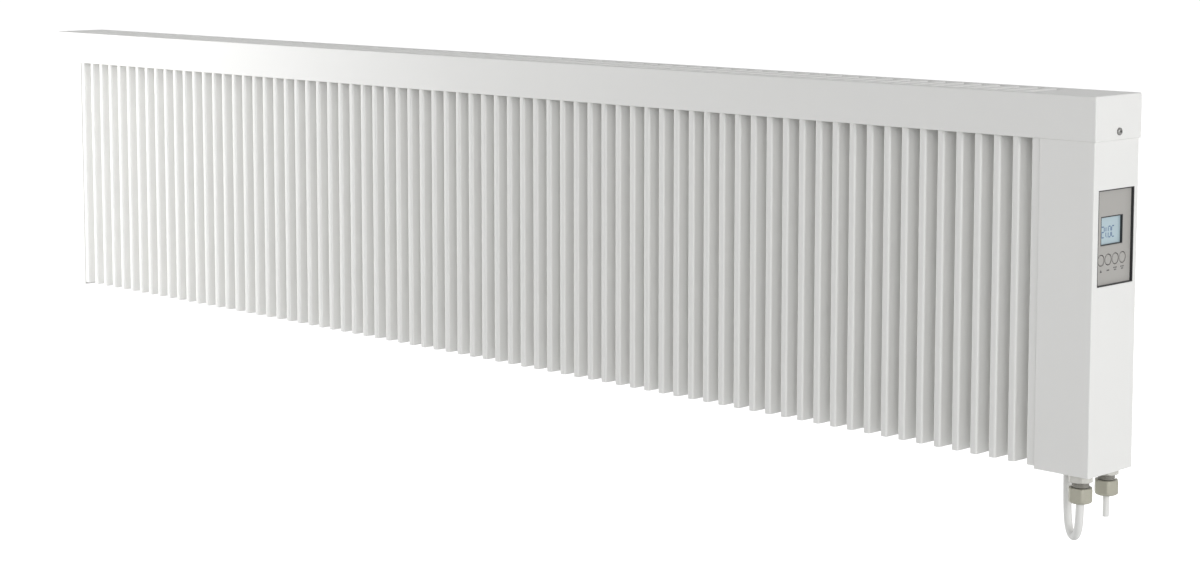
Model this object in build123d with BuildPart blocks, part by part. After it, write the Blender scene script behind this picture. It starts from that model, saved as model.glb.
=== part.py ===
from build123d import *
import os
from math import cos, pi, radians, sin, tan

os.makedirs("parts", exist_ok=True)

# A long, low storage heater that hangs on a wall: fireclay slabs behind a folded fin panel,
# under a slotted cover, with a wiring compartment and a thermostat at its right-hand end.
# X runs along the heater towards the thermostat, the front faces -Y and Z is up.
# The origin is the middle of the four wall screws, on the wall's surface. All sizes are in mm.

# Casing
cover_length = 1950.0
cover_depth = 85.4
cover_height = 47.4
heater_height = 400.0  # cover's top to the end covers' underside
cover_overhang = 1.6  # how far the cover stands proud of the casing, all round
cover_sheet = 1.2
casing_sheet = 1.0
sheet_bend = 1.6  # outside radius where a casing sheet is folded
cover_hem = 0.5  # rounding of the cover's lower edge
left_cover_width = 63.3
right_cover_width = 68.2
wall_gap = 15.0  # wall to the casing's back
top_above_screws = 200.0  # middle of the wall screws to the cover's top

# Slots in the top cover, one to each fin
slot_width = 15.0
slot_length = 64.0
slot_front_margin = 9.0
slot_right_margin = 84.7
slot_left_margin = 70.0

# Fin panel, one folded sheet
fin_pitch = 24.71
fin_width = 9.0
fin_depth = 24.0
fin_sheet = 1.0
fin_bend = 1.6  # width of the bevel that stands for each outside bend
fin_rise = 2.9  # fins' lower edge above the casing's underside
fin_top_drop = 25.0  # cover's top to the fins' upper edge
last_fin_reach = 11.0  # last fin's left edge to the right end cover
edge_fold_width = 13.0
edge_fold_inset = 1.8

# Inner frame and core
liner_sheet = 1.0
partition_inset = 21.2  # right end cover's edge to the partition behind it
partition_sheet = 1.2
partition_flange = 30.0
back_flange = 6.0
base_flange = 26.0
slab_count = 6
slab_thickness = 38.0
slab_height = 300.0
slab_gap = 0.5
core_end_space = 46.0  # partition to the first slab, for the element's bends
tray_rise = 32.0  # casing's underside to the slabs' underside
tray_sheet = 2.0
tray_lip = 12.0
clamp_sheet = 1.5
clamp_lip = 10.0
element_diameter = 8.5
element_rows = 4
element_spacing = 70.0
element_bend = 30.0
element_low_row = 45.0  # slabs' underside to the lowest row
groove_depth = 20.0
pin_length = 12.0
bush_diameter = 16.0
bush_flange = 20.0
insulation_rise = 12.0
insulation_top_drop = 30.0

# Thermostat in the right-hand end
thermostat_width = 65.9
thermostat_height = 100.8
thermostat_from_front = 10.4
thermostat_from_top = 98.5
rim_wall = 0.8
housing_depth = 28.0
housing_wall = 1.6
ear_width = 7.0
ear_height = 10.0
stud_diameter = 3.0
stud_length = 7.0
housing_nut_thickness = 2.4
fascia_recess = 3.0
fascia_thickness = 2.0
window_width = 40.7
window_height = 30.7
window_from_front = 19.9
window_from_top = 126.6
frame_wall = 1.0
frame_depth = 2.75
glass_thickness = 1.8
key_count = 4
key_pitch = 13.2
key_diameter = 10.5
key_hole = 11.5
key_flange_diameter = 12.6
key_flange_thickness = 0.8
key_stem_diameter = 4.0
key_stem_length = 3.0
key_travel = 0.6
key_dish = 0.5  # bevel round a key's face
first_key_from_front = 21.3
keys_from_top = 172.3
switch_width = 6.0
switch_height = 3.6
switch_button_height = 0.8
switch_button_diameter = 3.2
board_thickness = 1.6
board_margin = 2.0

# Glands and leads
gland_hex = 24.0  # across flats
gland_flange_height = 8.0
gland_neck_diameter = 19.0
gland_neck_height = 6.0
gland_nut_height = 15.0
gland_nut_round = 3.0
gland_thread = 20.0
gland_thread_length = 9.0
gland_bore = 14.0
gland_turn = 24.0  # degrees that each hexagon is turned about its axis
locknut_hex = 24.0
locknut_height = 4.5
loop_gland_from_end = 21.0
loop_gland_from_front = 17.0
mains_gland_from_end = 22.5
mains_gland_from_front = 68.0
loop_diameter = 9.0
mains_diameter = 7.0
mains_end_drop = 55.0  # casing's underside to the mains lead's cut end
rod_sides = 8  # flats that stand for the roundness of a lead, a wire or a rod
turned_sides = 20  # flats that stand for the roundness of a turned or moulded piece
hidden_sides = 10  # the same, for what the casing hides
grommet_from_end = 51.0
grommet_from_front = 37.0
grommet_hole = 13.0
grommet_flange = 16.0
grommet_lip = 1.0

# Terminals and small parts
terminal_width = 50.0
terminal_height = 22.0
terminal_depth = 20.0
terminal_poles = 5
terminal_below_origin = 38.0
cutout_diameter = 16.0
cutout_height = 9.0
cutout_above_origin = 150.0
relay_width = 16.0
relay_height = 28.0
relay_thickness = 10.0
sensor_diameter = 3.0
sensor_length = 6.0

# Wall brackets and fasteners
bracket_spacing = 1400.0
bracket_width = 40.0
bracket_height = 300.0
bracket_sheet = 2.0
wall_hole = 6.5
wall_hole_spacing = 240.0
hook_height = 8.0
hook_tip = 8.0
hook_reach = 6.0
hook_above_origin = 120.0
ear_reach = 20.0
screw_diameter = 4.0
screw_head = 8.0
screw_head_height = 2.6
screw_length = 9.0
cover_screw_drop = 38.4  # cover's top to the screw at each end
rear_screw_spacing = 240.0

# Clearances
fit_gap = 0.3  # round a part that sits loosely in another
hole_gap = 0.25  # round a screw or a stud in its hole

# Planes that the parts share
x_end = cover_length / 2 - cover_overhang
x_left_edge = -x_end + left_cover_width
x_right_edge = x_end - right_cover_width
y_back = -wall_gap
y_front = y_back - cover_depth + 2 * cover_overhang
y_cover_back = y_back + cover_overhang
y_cover_front = y_front - cover_overhang
y_mid = (y_back + y_front) / 2
z_top = top_above_screws
z_base = z_top - heater_height
z_casing_top = z_top - cover_sheet
z_cover_low = z_top - cover_height
z_fin_low = z_base + fin_rise
z_fin_top = z_top - fin_top_drop

y_fin_front = y_front + casing_sheet
y_floor_front = y_fin_front + fin_depth
y_floor_back = y_floor_front + fin_sheet
y_liner_back = y_floor_back + liner_sheet
y_panel_front = y_back - casing_sheet

x_right_partition = x_right_edge - partition_inset
x_left_partition = x_left_edge + partition_inset
x_core_right = x_right_partition - core_end_space
x_core_left = x_left_partition + core_end_space
z_slab_low = z_base + tray_rise
z_slab_top = z_slab_low + slab_height
y_slab_front = y_liner_back + tray_sheet + fit_gap
y_slab_back = y_slab_front + slab_thickness

both_ends = ((x_left_partition, -1), (x_right_partition, 1))


def save(builder, name):
    """Labels a finished piece and writes it as parts/<name>.step."""
    builder.part.label = name
    export_step(builder.part, f"parts/{name}.step")


def span(low, high):
    """The middle and the length of a stretch along one axis."""
    return (low + high) / 2, high - low


# Top cover: a folded steel lid whose band overlaps the casing, with an air slot for each fin.
slot_count = int((cover_length - slot_left_margin - slot_right_margin - slot_width) / fin_pitch) + 1
x_last_slot = cover_length / 2 - slot_right_margin - slot_width / 2
slot_places = [
    (x_last_slot - i * fin_pitch, y_cover_front + slot_front_margin + slot_length / 2)
    for i in range(slot_count)
]
y_cover_mid, _ = span(y_cover_front, y_cover_back)
with BuildPart() as top_cover:
    with BuildSketch(Plane.XY.offset(z_cover_low)):
        with Locations((0, y_cover_mid)):
            Rectangle(cover_length, cover_depth)
    extrude(amount=cover_height)
    fillet(top_cover.edges().filter_by(Axis.Z), radius=sheet_bend)
    fillet(top_cover.edges().group_by(Axis.Z)[-1], radius=sheet_bend)
    chamfer(top_cover.edges().group_by(Axis.Z)[0], length=cover_hem)
    with BuildSketch(Plane.XY.offset(z_cover_low)):
        with Locations((0, y_cover_mid)):
            RectangleRounded(
                cover_length - 2 * cover_sheet, cover_depth - 2 * cover_sheet, sheet_bend - cover_sheet
            )
    extrude(amount=cover_height - cover_sheet, mode=Mode.SUBTRACT)
    with BuildSketch(Plane.XY.offset(z_top)):
        with Locations(*slot_places):
            Rectangle(slot_width, slot_length)
    extrude(amount=-2 * cover_sheet, mode=Mode.SUBTRACT)
    with BuildSketch(Plane.YZ):
        with Locations((y_mid, z_top - cover_screw_drop)):
            Circle(screw_diameter / 2 + hole_gap)
    extrude(amount=cover_length, both=True, mode=Mode.SUBTRACT)
save(top_cover, "top_cover")

# Fin panel: one sheet folded into hollow vertical fins, open below, with a wider fold at
# each end that lies behind the end cover. It is the heater's visible front.
fin_count = int((x_right_edge - last_fin_reach - x_left_edge) / fin_pitch) + 1
fin_places = [
    (x_right_edge - last_fin_reach + fin_width / 2 - i * fin_pitch, y_fin_front)
    for i in range(fin_count)
]
x_right_fold = x_right_edge + edge_fold_inset + edge_fold_width / 2
x_left_fold = x_left_edge - edge_fold_inset - edge_fold_width / 2
edge_places = [(x_right_fold, y_fin_front), (x_left_fold, y_fin_front)]
floor_mid, floor_length = span(x_left_fold - edge_fold_width / 2, x_right_fold + edge_fold_width / 2)
front_edge = (Align.CENTER, Align.MIN)
with BuildPart() as fin_panel:
    with BuildSketch(Plane.XY.offset(z_fin_low)) as fin_profile:
        with Locations((floor_mid, y_floor_front)):
            Rectangle(floor_length, fin_sheet, align=front_edge)
        with Locations(*fin_places):
            Rectangle(fin_width, fin_depth, align=front_edge)
        with Locations(*edge_places):
            Rectangle(edge_fold_width, fin_depth, align=front_edge)
        chamfer(fin_profile.vertices().group_by(Axis.Y)[0], length=fin_bend)
    extrude(fin_profile.sketch, amount=z_fin_top - z_fin_low)
    with BuildSketch(Plane.XY.offset(z_fin_low)) as fin_hollows:
        with Locations(*[(x, y + fin_sheet) for x, y in fin_places]):
            Rectangle(fin_width - 2 * fin_sheet, 2 * fin_depth, align=front_edge)
        with Locations(*[(x, y + fin_sheet) for x, y in edge_places]):
            Rectangle(edge_fold_width - 2 * fin_sheet, 2 * fin_depth, align=front_edge)
        chamfer(fin_hollows.vertices().group_by(Axis.Y)[0], length=fin_bend / 2)
    extrude(fin_hollows.sketch, amount=z_fin_top - z_fin_low, mode=Mode.SUBTRACT)
save(fin_panel, "fin_panel")

# Front liner: the flat sheet behind the fins, spot-welded to the folds' floors.
with BuildPart() as front_liner:
    with BuildSketch(Plane.XY.offset(z_fin_low)):
        with Locations((floor_mid, y_floor_back)):
            Rectangle(floor_length, liner_sheet, align=front_edge)
    extrude(amount=z_fin_top - z_fin_low)
save(front_liner, "front_liner")

# Wall hooks and rear panel share these places.
bracket_centres = (-bracket_spacing / 2, bracket_spacing / 2)
hook_places = [
    x + side * (bracket_width - bracket_sheet) / 2 for x in bracket_centres for side in (-1, 1)
]
hook_slot_width = bracket_sheet + 2 * fit_gap
hook_slot_height = hook_height + hook_tip + 2 * fit_gap
y_bracket_screw = y_panel_front - base_flange / 2

# Rear panel: a sheet folded forward at the top and at the foot, hung on the wall hooks.
panel_mid, panel_length = span(x_left_edge + fit_gap, x_right_edge - fit_gap)
with BuildPart() as rear_panel:
    with BuildSketch(Plane.YZ.offset(panel_mid)):
        with BuildLine():
            Polyline(
                (y_back, z_base),
                (y_back, z_casing_top),
                (y_panel_front - back_flange, z_casing_top),
                (y_panel_front - back_flange, z_casing_top - casing_sheet),
                (y_panel_front, z_casing_top - casing_sheet),
                (y_panel_front, z_base + casing_sheet),
                (y_panel_front - base_flange, z_base + casing_sheet),
                (y_panel_front - base_flange, z_base),
                close=True,
            )
        make_face()
    extrude(amount=panel_length / 2, both=True)
    with BuildSketch(Plane.XZ.offset(-y_back)):
        with Locations(*[(x, hook_above_origin) for x in hook_places]):
            Rectangle(hook_slot_width, hook_slot_height, align=(Align.CENTER, Align.MAX))
    extrude(amount=2 * casing_sheet, both=True, mode=Mode.SUBTRACT)
    with BuildSketch(Plane.XY.offset(z_base)):
        with Locations(*[(x, y_bracket_screw) for x in bracket_centres]):
            Circle(screw_diameter / 2 + hole_gap)
    extrude(amount=casing_sheet, mode=Mode.SUBTRACT)
save(rear_panel, "rear_panel")

# Partitions: flanged plates that close the core's chamber. The end covers are screwed to
# their rear flanges, and the right one carries the terminals.
bush_rows = [z_slab_low + element_low_row + i * element_spacing for i in (0, element_rows - 1)]
y_groove_floor = y_slab_back - groove_depth
y_element = y_groove_floor + fit_gap + element_diameter / 2
z_partition_top = z_fin_top
for x_plate, side in both_ends:
    name = "right_partition" if side > 0 else "left_partition"
    with BuildPart() as partition:
        plate_mid, plate_height = span(z_base + casing_sheet, z_partition_top)
        with BuildSketch(Plane.XY.offset(z_base + casing_sheet)):
            with BuildLine():
                Polyline(
                    (x_plate, y_liner_back),
                    (x_plate, y_panel_front),
                    (x_plate + side * partition_flange, y_panel_front),
                    (x_plate + side * partition_flange, y_panel_front - partition_sheet),
                    (x_plate + side * partition_sheet, y_panel_front - partition_sheet),
                    (x_plate + side * partition_sheet, y_liner_back),
                    close=True,
                )
            make_face()
        extrude(amount=plate_height)
        with BuildSketch(Plane.XY.offset(z_base + casing_sheet)):
            foot_mid, foot_length = span(0, partition_flange)
            plate_middle, plate_depth = span(y_liner_back, y_panel_front)
            with Locations((x_plate + side * foot_mid, plate_middle)):
                Rectangle(foot_length, plate_depth)
        extrude(amount=partition_sheet)
        with BuildSketch(Plane.XZ.offset(-y_panel_front)):
            x_screw = (x_right_edge if side > 0 else x_left_edge) + side * screw_diameter
            with Locations(*[(x_screw, z) for z in (-rear_screw_spacing / 2, rear_screw_spacing / 2)]):
                Circle(screw_diameter / 2 + hole_gap)
        extrude(amount=partition_sheet, mode=Mode.SUBTRACT)
        if side > 0:
            with BuildSketch(Plane.YZ.offset(x_plate)):
                with Locations(*[(y_element, z) for z in bush_rows]):
                    Circle(bush_diameter / 2 + hole_gap)
            extrude(amount=partition_sheet, mode=Mode.SUBTRACT)
    save(partition, name)


# End covers: folded boxes, open towards the fins and at the top, where the cover closes them.
def end_cover(side, width):
    """The plain folded box of one end cover, for the left end (-1) or the right end (1)."""
    x_mid = side * (x_end - width / 2)
    with BuildPart() as box:
        with BuildSketch(Plane.XY.offset(z_base)):
            with Locations((x_mid, y_mid)):
                Rectangle(width, y_back - y_front)
        extrude(amount=z_casing_top - z_base)
        outer_edges = box.edges().filter_by(Axis.Z).sort_by(Axis.X)
        fillet(outer_edges[-2:] if side > 0 else outer_edges[:2], radius=sheet_bend)
        with BuildSketch(Plane.XY.offset(z_base + casing_sheet)) as inside:
            with Locations((x_mid - side * casing_sheet, y_mid)):
                Rectangle(width, y_back - y_front - 2 * casing_sheet)
            corners = inside.vertices().sort_by(Axis.X)
            fillet(corners[-2:] if side > 0 else corners[:2], radius=sheet_bend - casing_sheet)
        extrude(amount=heater_height, mode=Mode.SUBTRACT)
        with BuildSketch(Plane.XZ.offset(-y_back)):
            x_screw = side * (x_end - width) + side * screw_diameter
            with Locations(*[(x_screw, z) for z in (-rear_screw_spacing / 2, rear_screw_spacing / 2)]):
                Circle(screw_diameter / 2 + hole_gap)
        extrude(amount=casing_sheet, mode=Mode.SUBTRACT)
        with BuildSketch(Plane.YZ.offset(side * x_end)):
            with Locations((y_mid, z_top - cover_screw_drop)):
                Circle(screw_diameter / 2 + hole_gap)
        extrude(amount=-side * casing_sheet, mode=Mode.SUBTRACT)
    return box


left_end_cover = end_cover(-1, left_cover_width)
save(left_end_cover, "left_end_cover")

# The right end cover also has the thermostat's opening with four welded studs round it, and
# holes in its base for the two glands and the grommet.
y_thermostat = y_cover_front + thermostat_from_front + thermostat_width / 2
z_thermostat = z_top - thermostat_from_top - thermostat_height / 2
loop_gland = (x_end + cover_overhang - loop_gland_from_end, y_cover_front + loop_gland_from_front)
mains_gland = (x_end + cover_overhang - mains_gland_from_end, y_cover_front + mains_gland_from_front)
grommet_place = (x_end + cover_overhang - grommet_from_end, y_cover_front + grommet_from_front)
ear_offset = thermostat_height / 2 + ear_height / 2
stud_places = [
    (y_thermostat + dy, z_thermostat + dz)
    for dy in (-thermostat_width / 4, thermostat_width / 4)
    for dz in (-ear_offset, ear_offset)
]
x_inner_face = x_end - casing_sheet
right_box = end_cover(1, right_cover_width)
with BuildPart() as right_end_cover:
    add(right_box.part)
    with BuildSketch(Plane.YZ.offset(x_end)):
        with Locations((y_thermostat, z_thermostat)):
            Rectangle(thermostat_width + 2 * hole_gap, thermostat_height + 2 * hole_gap)
    extrude(amount=-casing_sheet, mode=Mode.SUBTRACT)
    with BuildSketch(Plane.XY.offset(z_base)):
        with Locations(loop_gland, mains_gland):
            Circle(gland_thread / 2 + hole_gap)
        with Locations(grommet_place):
            Circle(grommet_hole / 2)
    extrude(amount=casing_sheet, mode=Mode.SUBTRACT)
    with BuildSketch(Plane.YZ.offset(x_inner_face)):
        with Locations(*stud_places):
            RegularPolygon(stud_diameter / 2, rod_sides)
    extrude(amount=-stud_length)
save(right_end_cover, "right_end_cover")

# Core tray: a steel channel between the partitions that carries the slabs.
y_tray_mid, tray_depth = span(y_liner_back, y_slab_back + fit_gap + tray_sheet)
tray_mid, tray_length = span(x_left_partition, x_right_partition)
with BuildPart() as core_tray:
    with BuildSketch(Plane.YZ.offset(tray_mid)):
        with Locations((y_tray_mid, z_slab_low)):
            Rectangle(tray_depth, tray_sheet, align=(Align.CENTER, Align.MAX))
            Rectangle(tray_depth, tray_lip, align=(Align.CENTER, Align.MIN))
        with Locations((y_tray_mid, z_slab_low)):
            Rectangle(
                tray_depth - 2 * tray_sheet, tray_lip, align=(Align.CENTER, Align.MIN),
                mode=Mode.SUBTRACT,
            )
    extrude(amount=tray_length / 2, both=True)
save(core_tray, "core_tray")

# Core slabs: fireclay blocks on end, with four grooves in the back for the element.
slab_length = (x_core_right - x_core_left - (slab_count - 1) * slab_gap) / slab_count
element_heights = [z_slab_low + element_low_row + i * element_spacing for i in range(element_rows)]
groove_width = element_diameter + 2 * fit_gap
core_mid, core_length = span(x_core_left, x_core_right)
with BuildPart() as core_slabs:
    with BuildSketch(Plane.XY.offset(z_slab_low)):
        with Locations((core_mid, y_slab_front + slab_thickness / 2)):
            with GridLocations(slab_length + slab_gap, 1, slab_count, 1):
                Rectangle(slab_length, slab_thickness)
    extrude(amount=slab_height)
    with BuildSketch(Plane.YZ.offset(core_mid)):
        with Locations(*[(y_groove_floor, z) for z in element_heights]):
            Rectangle(groove_depth, groove_width, align=(Align.MIN, Align.CENTER))
    extrude(amount=core_length / 2, both=True, mode=Mode.SUBTRACT)
save(core_slabs, "core_slabs")

# Heating element: one sheathed rod that runs along the grooves and turns back at each end.
x_turn_right = x_core_right + element_bend + element_diameter
x_turn_left = x_core_left - element_bend - element_diameter
x_pin = x_right_partition + partition_sheet + pin_length
rod_points = [(x_pin, y_element, element_heights[0])]
for row in range(element_rows - 1):
    x_turn = x_turn_left if row % 2 == 0 else x_turn_right
    rod_points += [(x_turn, y_element, element_heights[row]), (x_turn, y_element, element_heights[row + 1])]
rod_points.append((x_pin, y_element, element_heights[-1]))
with BuildPart() as heating_element:
    with BuildLine() as rod_path:
        FilletPolyline(*rod_points, radius=element_bend)
    with BuildSketch(Plane(origin=rod_path.line @ 0, z_dir=rod_path.line % 0)):
        RegularPolygon(element_diameter / 2, rod_sides)
    sweep()
save(heating_element, "heating_element")

# Element bushes: ceramic collars that carry the element's two ends through the partition.
with BuildPart() as element_bushes:
    with BuildSketch(Plane.YZ.offset(x_right_partition - fit_gap)):
        with Locations(*[(y_element, z) for z in bush_rows]):
            RegularPolygon(bush_diameter / 2, hidden_sides)
    extrude(amount=partition_sheet + 6.0)
    with BuildSketch(Plane.YZ.offset(x_right_partition + partition_sheet)):
        with Locations(*[(y_element, z) for z in bush_rows]):
            RegularPolygon(bush_flange / 2, hidden_sides)
    extrude(amount=3.0)
    with BuildSketch(Plane.YZ.offset(x_right_partition)):
        with Locations(*[(y_element, z) for z in bush_rows]):
            RegularPolygon(element_diameter / 2 + fit_gap, hidden_sides)
    extrude(amount=4 * pin_length, both=True, mode=Mode.SUBTRACT)
save(element_bushes, "element_bushes")

# Core clamp: a channel on top of the slabs that keeps them upright.
with BuildPart() as core_clamp:
    with BuildSketch(Plane.YZ.offset(tray_mid)):
        with Locations((y_tray_mid, z_slab_top)):
            Rectangle(tray_depth, clamp_sheet, align=(Align.CENTER, Align.MIN))
            Rectangle(tray_depth, clamp_lip, align=(Align.CENTER, Align.MAX))
            Rectangle(
                tray_depth - 2 * tray_sheet, clamp_lip, align=(Align.CENTER, Align.MAX),
                mode=Mode.SUBTRACT,
            )
    extrude(amount=tray_length / 2, both=True)
save(core_clamp, "core_clamp")

# Insulation board: mineral board between the core and the rear panel, relieved round the
# wall hooks, the tray and the clamp.
y_board_front = y_slab_back + fit_gap + tray_sheet + fit_gap
board_mid, board_depth = span(y_board_front, y_panel_front)
z_insulation_low = z_base + insulation_rise
with BuildPart() as insulation_board:
    with BuildSketch(Plane.XY.offset(z_insulation_low)):
        with Locations((tray_mid, board_mid)):
            Rectangle(tray_length, board_depth)
    extrude(amount=z_top - insulation_top_drop - z_insulation_low)
    with BuildSketch(Plane.XZ.offset(-y_panel_front)):
        with Locations(*[(x, hook_above_origin) for x in hook_places]):
            Rectangle(3 * hook_slot_width, 3 * hook_slot_height)
    extrude(amount=hook_reach + bracket_sheet, mode=Mode.SUBTRACT)
save(insulation_board, "insulation_board")

# Thermostat housing: a black moulded tray whose thin rim lines the opening in the end cover.
# Its ears sit on the studs behind the sheet.
x_fascia = x_end - fascia_recess
x_fascia_back = x_fascia - fascia_thickness
x_housing_back = x_inner_face - housing_depth
inner_width = thermostat_width - 2 * rim_wall
inner_height = thermostat_height - 2 * rim_wall
with BuildPart() as thermostat_housing:
    with BuildSketch(Plane.YZ.offset(x_housing_back)) as tray_outline:
        with Locations((y_thermostat, z_thermostat)):
            Rectangle(thermostat_width, thermostat_height)
    extrude(amount=x_end - x_housing_back)
    with BuildSketch(Plane.YZ.offset(x_inner_face)):
        with Locations(*stud_places):
            Rectangle(2 * ear_width, ear_height)
    extrude(amount=-housing_wall)
    with BuildSketch(Plane.YZ.offset(x_housing_back + housing_wall)):
        with Locations((y_thermostat, z_thermostat)):
            Rectangle(inner_width - 2 * rim_wall, inner_height - 2 * rim_wall)
    extrude(amount=housing_depth + casing_sheet, mode=Mode.SUBTRACT)
    with BuildSketch(Plane.YZ.offset(x_fascia_back)):
        with Locations((y_thermostat, z_thermostat)):
            Rectangle(inner_width, inner_height)
    extrude(amount=fascia_thickness + fascia_recess, mode=Mode.SUBTRACT)
    with BuildSketch(Plane.YZ.offset(x_inner_face)):
        with Locations(*stud_places):
            RegularPolygon(stud_diameter / 2 + hole_gap, rod_sides)
    extrude(amount=-housing_wall, mode=Mode.SUBTRACT)
    with BuildSketch(Plane.XY.offset(z_thermostat - thermostat_height / 2)):
        with Locations((x_housing_back + housing_depth / 2, y_thermostat + loop_diameter)):
            RegularPolygon(loop_diameter / 2 + 2 * fit_gap, hidden_sides)
    extrude(amount=2 * rim_wall, mode=Mode.SUBTRACT)
save(thermostat_housing, "thermostat_housing")

# Housing nuts: four small nuts on the end cover's studs.
with BuildPart() as housing_nuts:
    with BuildSketch(Plane.YZ.offset(x_inner_face - housing_wall)):
        with Locations(*stud_places):
            RegularPolygon(stud_diameter, 6)
            RegularPolygon(stud_diameter / 2 + hole_gap, rod_sides, mode=Mode.SUBTRACT)
    extrude(amount=-housing_nut_thickness)
save(housing_nuts, "housing_nuts")

# Fascia: the grey front plate, with a window for the display and a round hole for each key.
y_window = y_cover_front + window_from_front + window_width / 2
z_window = z_top - window_from_top - window_height / 2
z_keys = z_top - keys_from_top
key_places = [(y_cover_front + first_key_from_front + i * key_pitch, z_keys) for i in range(key_count)]
with BuildPart() as fascia:
    with BuildSketch(Plane.YZ.offset(x_fascia_back)):
        with Locations((y_thermostat, z_thermostat)):
            Rectangle(inner_width - 2 * hole_gap, inner_height - 2 * hole_gap)
        with Locations((y_window, z_window)):
            Rectangle(window_width, window_height, mode=Mode.SUBTRACT)
        with Locations(*key_places):
            RegularPolygon(key_hole / 2, turned_sides, mode=Mode.SUBTRACT)
    extrude(amount=fascia_thickness)
save(fascia, "fascia")

# Display frame: the black liner of the window, which holds the glass against the board.
x_glass = x_fascia - frame_depth
x_glass_back = x_glass - glass_thickness
with BuildPart() as display_frame:
    with BuildSketch(Plane.YZ.offset(x_glass_back)):
        with Locations((y_window, z_window)):
            Rectangle(window_width + 2 * frame_wall, window_height + 2 * frame_wall)
            Rectangle(window_width - 2 * hole_gap, window_height - 2 * hole_gap, mode=Mode.SUBTRACT)
    extrude(amount=x_fascia_back - x_glass_back)
    with BuildSketch(Plane.YZ.offset(x_fascia_back)):
        with Locations((y_window, z_window)):
            Rectangle(window_width - 2 * hole_gap, window_height - 2 * hole_gap)
            Rectangle(window_width - 2 * frame_wall, window_height - 2 * frame_wall, mode=Mode.SUBTRACT)
    extrude(amount=fascia_thickness)
    with BuildSketch(Plane.YZ.offset(x_glass)):
        with Locations((y_window, z_window)):
            Rectangle(window_width - 2 * hole_gap, window_height - 2 * hole_gap)
            Rectangle(window_width - 2 * frame_wall, window_height - 2 * frame_wall, mode=Mode.SUBTRACT)
    extrude(amount=x_fascia_back - x_glass)
save(display_frame, "display_frame")

# Display: the liquid-crystal glass behind the frame.
with BuildPart() as display:
    with BuildSketch(Plane.YZ.offset(x_glass_back)):
        with Locations((y_window, z_window)):
            Rectangle(window_width - 4 * hole_gap, window_height - 4 * hole_gap)
    extrude(amount=glass_thickness)
save(display, "display")

# Keys: round caps with a retaining flange behind the fascia and a stem to their switch.
x_flange = x_fascia_back - fit_gap
x_stem_end = x_flange - key_flange_thickness - key_stem_length
for number, place in enumerate(key_places, start=1):
    with BuildPart() as key:
        with BuildSketch(Plane.YZ.offset(x_flange - key_flange_thickness)):
            with Locations(place):
                RegularPolygon(key_flange_diameter / 2, hidden_sides)
        extrude(amount=key_flange_thickness)
        with BuildSketch(Plane.YZ.offset(x_flange)):
            with Locations(place):
                RegularPolygon(key_diameter / 2, turned_sides)
        extrude(amount=x_fascia - x_flange)
        chamfer(key.edges().group_by(Axis.X)[-1], length=key_dish)
        with BuildSketch(Plane.YZ.offset(x_flange - key_flange_thickness)):
            with Locations(place):
                RegularPolygon(key_stem_diameter / 2, rod_sides)
        extrude(amount=-key_stem_length)
    save(key, f"key_{number}")

# Key switches: a small push switch behind each stem, with its button just clear of the stem.
x_switch_tip = x_stem_end - key_travel - fit_gap
x_board = x_switch_tip - switch_button_height - switch_height
with BuildPart() as key_switches:
    with BuildSketch(Plane.YZ.offset(x_board)):
        with Locations(*key_places):
            Rectangle(switch_width, switch_width)
    extrude(amount=switch_height)
    with BuildSketch(Plane.YZ.offset(x_board + switch_height)):
        with Locations(*key_places):
            RegularPolygon(switch_button_diameter / 2, rod_sides)
    extrude(amount=switch_button_height)
save(key_switches, "key_switches")

# Circuit board: carries the switches and, on a raised block, the display.
with BuildPart() as circuit_board:
    with BuildSketch(Plane.YZ.offset(x_board - board_thickness)):
        with Locations((y_thermostat, z_thermostat)):
            Rectangle(inner_width - 2 * board_margin, inner_height - 2 * board_margin)
    extrude(amount=board_thickness)
    with BuildSketch(Plane.YZ.offset(x_board)):
        with Locations((y_window, z_window)):
            Rectangle(window_width, window_height)
    extrude(amount=x_glass_back - x_board)
    with BuildSketch(Plane.YZ.offset(x_housing_back + housing_wall)):
        with Locations((y_thermostat, z_thermostat)):
            with GridLocations(inner_width - 8 * board_margin, inner_height - 8 * board_margin, 2, 2):
                RegularPolygon(board_margin, rod_sides)
    extrude(amount=x_board - board_thickness - x_housing_back - housing_wall)
save(circuit_board, "circuit_board")

# Relay: switches the element. It stands on the back of the circuit board.
with BuildPart() as relay:
    with BuildSketch(Plane.YZ.offset(x_board - board_thickness)):
        with Locations((y_thermostat, z_thermostat)):
            Rectangle(relay_width, relay_height)
    extrude(amount=-relay_thickness)
save(relay, "relay")

# Room sensor: a bead thermistor at the circuit board's lower edge.
with BuildPart() as room_sensor:
    with BuildSketch(Plane.YZ.offset(x_board)):
        with Locations((y_thermostat, z_keys - key_pitch)):
            RegularPolygon(sensor_diameter / 2, rod_sides)
    extrude(amount=sensor_length)
    chamfer(room_sensor.edges().group_by(Axis.X)[-1], length=sensor_diameter / 3)
save(room_sensor, "room_sensor")

# Terminal block: a moulded strip on the right partition, with a screw well over each pole.
x_terminal = x_right_partition + partition_sheet
y_terminal = (y_liner_back + y_panel_front) / 2
z_terminal = -terminal_below_origin - terminal_height / 2
pole_pitch = terminal_width / terminal_poles
with BuildPart() as terminal_block:
    with BuildSketch(Plane.YZ.offset(x_terminal)):
        with Locations((y_terminal, z_terminal)):
            Rectangle(terminal_width, terminal_height)
    extrude(amount=terminal_depth)
    with BuildSketch(Plane.YZ.offset(x_terminal + terminal_depth)):
        with Locations((y_terminal, z_terminal)):
            with GridLocations(pole_pitch, terminal_height / 2, terminal_poles, 2):
                Rectangle(pole_pitch / 2, pole_pitch / 2)
    extrude(amount=-terminal_depth / 3, mode=Mode.SUBTRACT)
save(terminal_block, "terminal_block")

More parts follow.
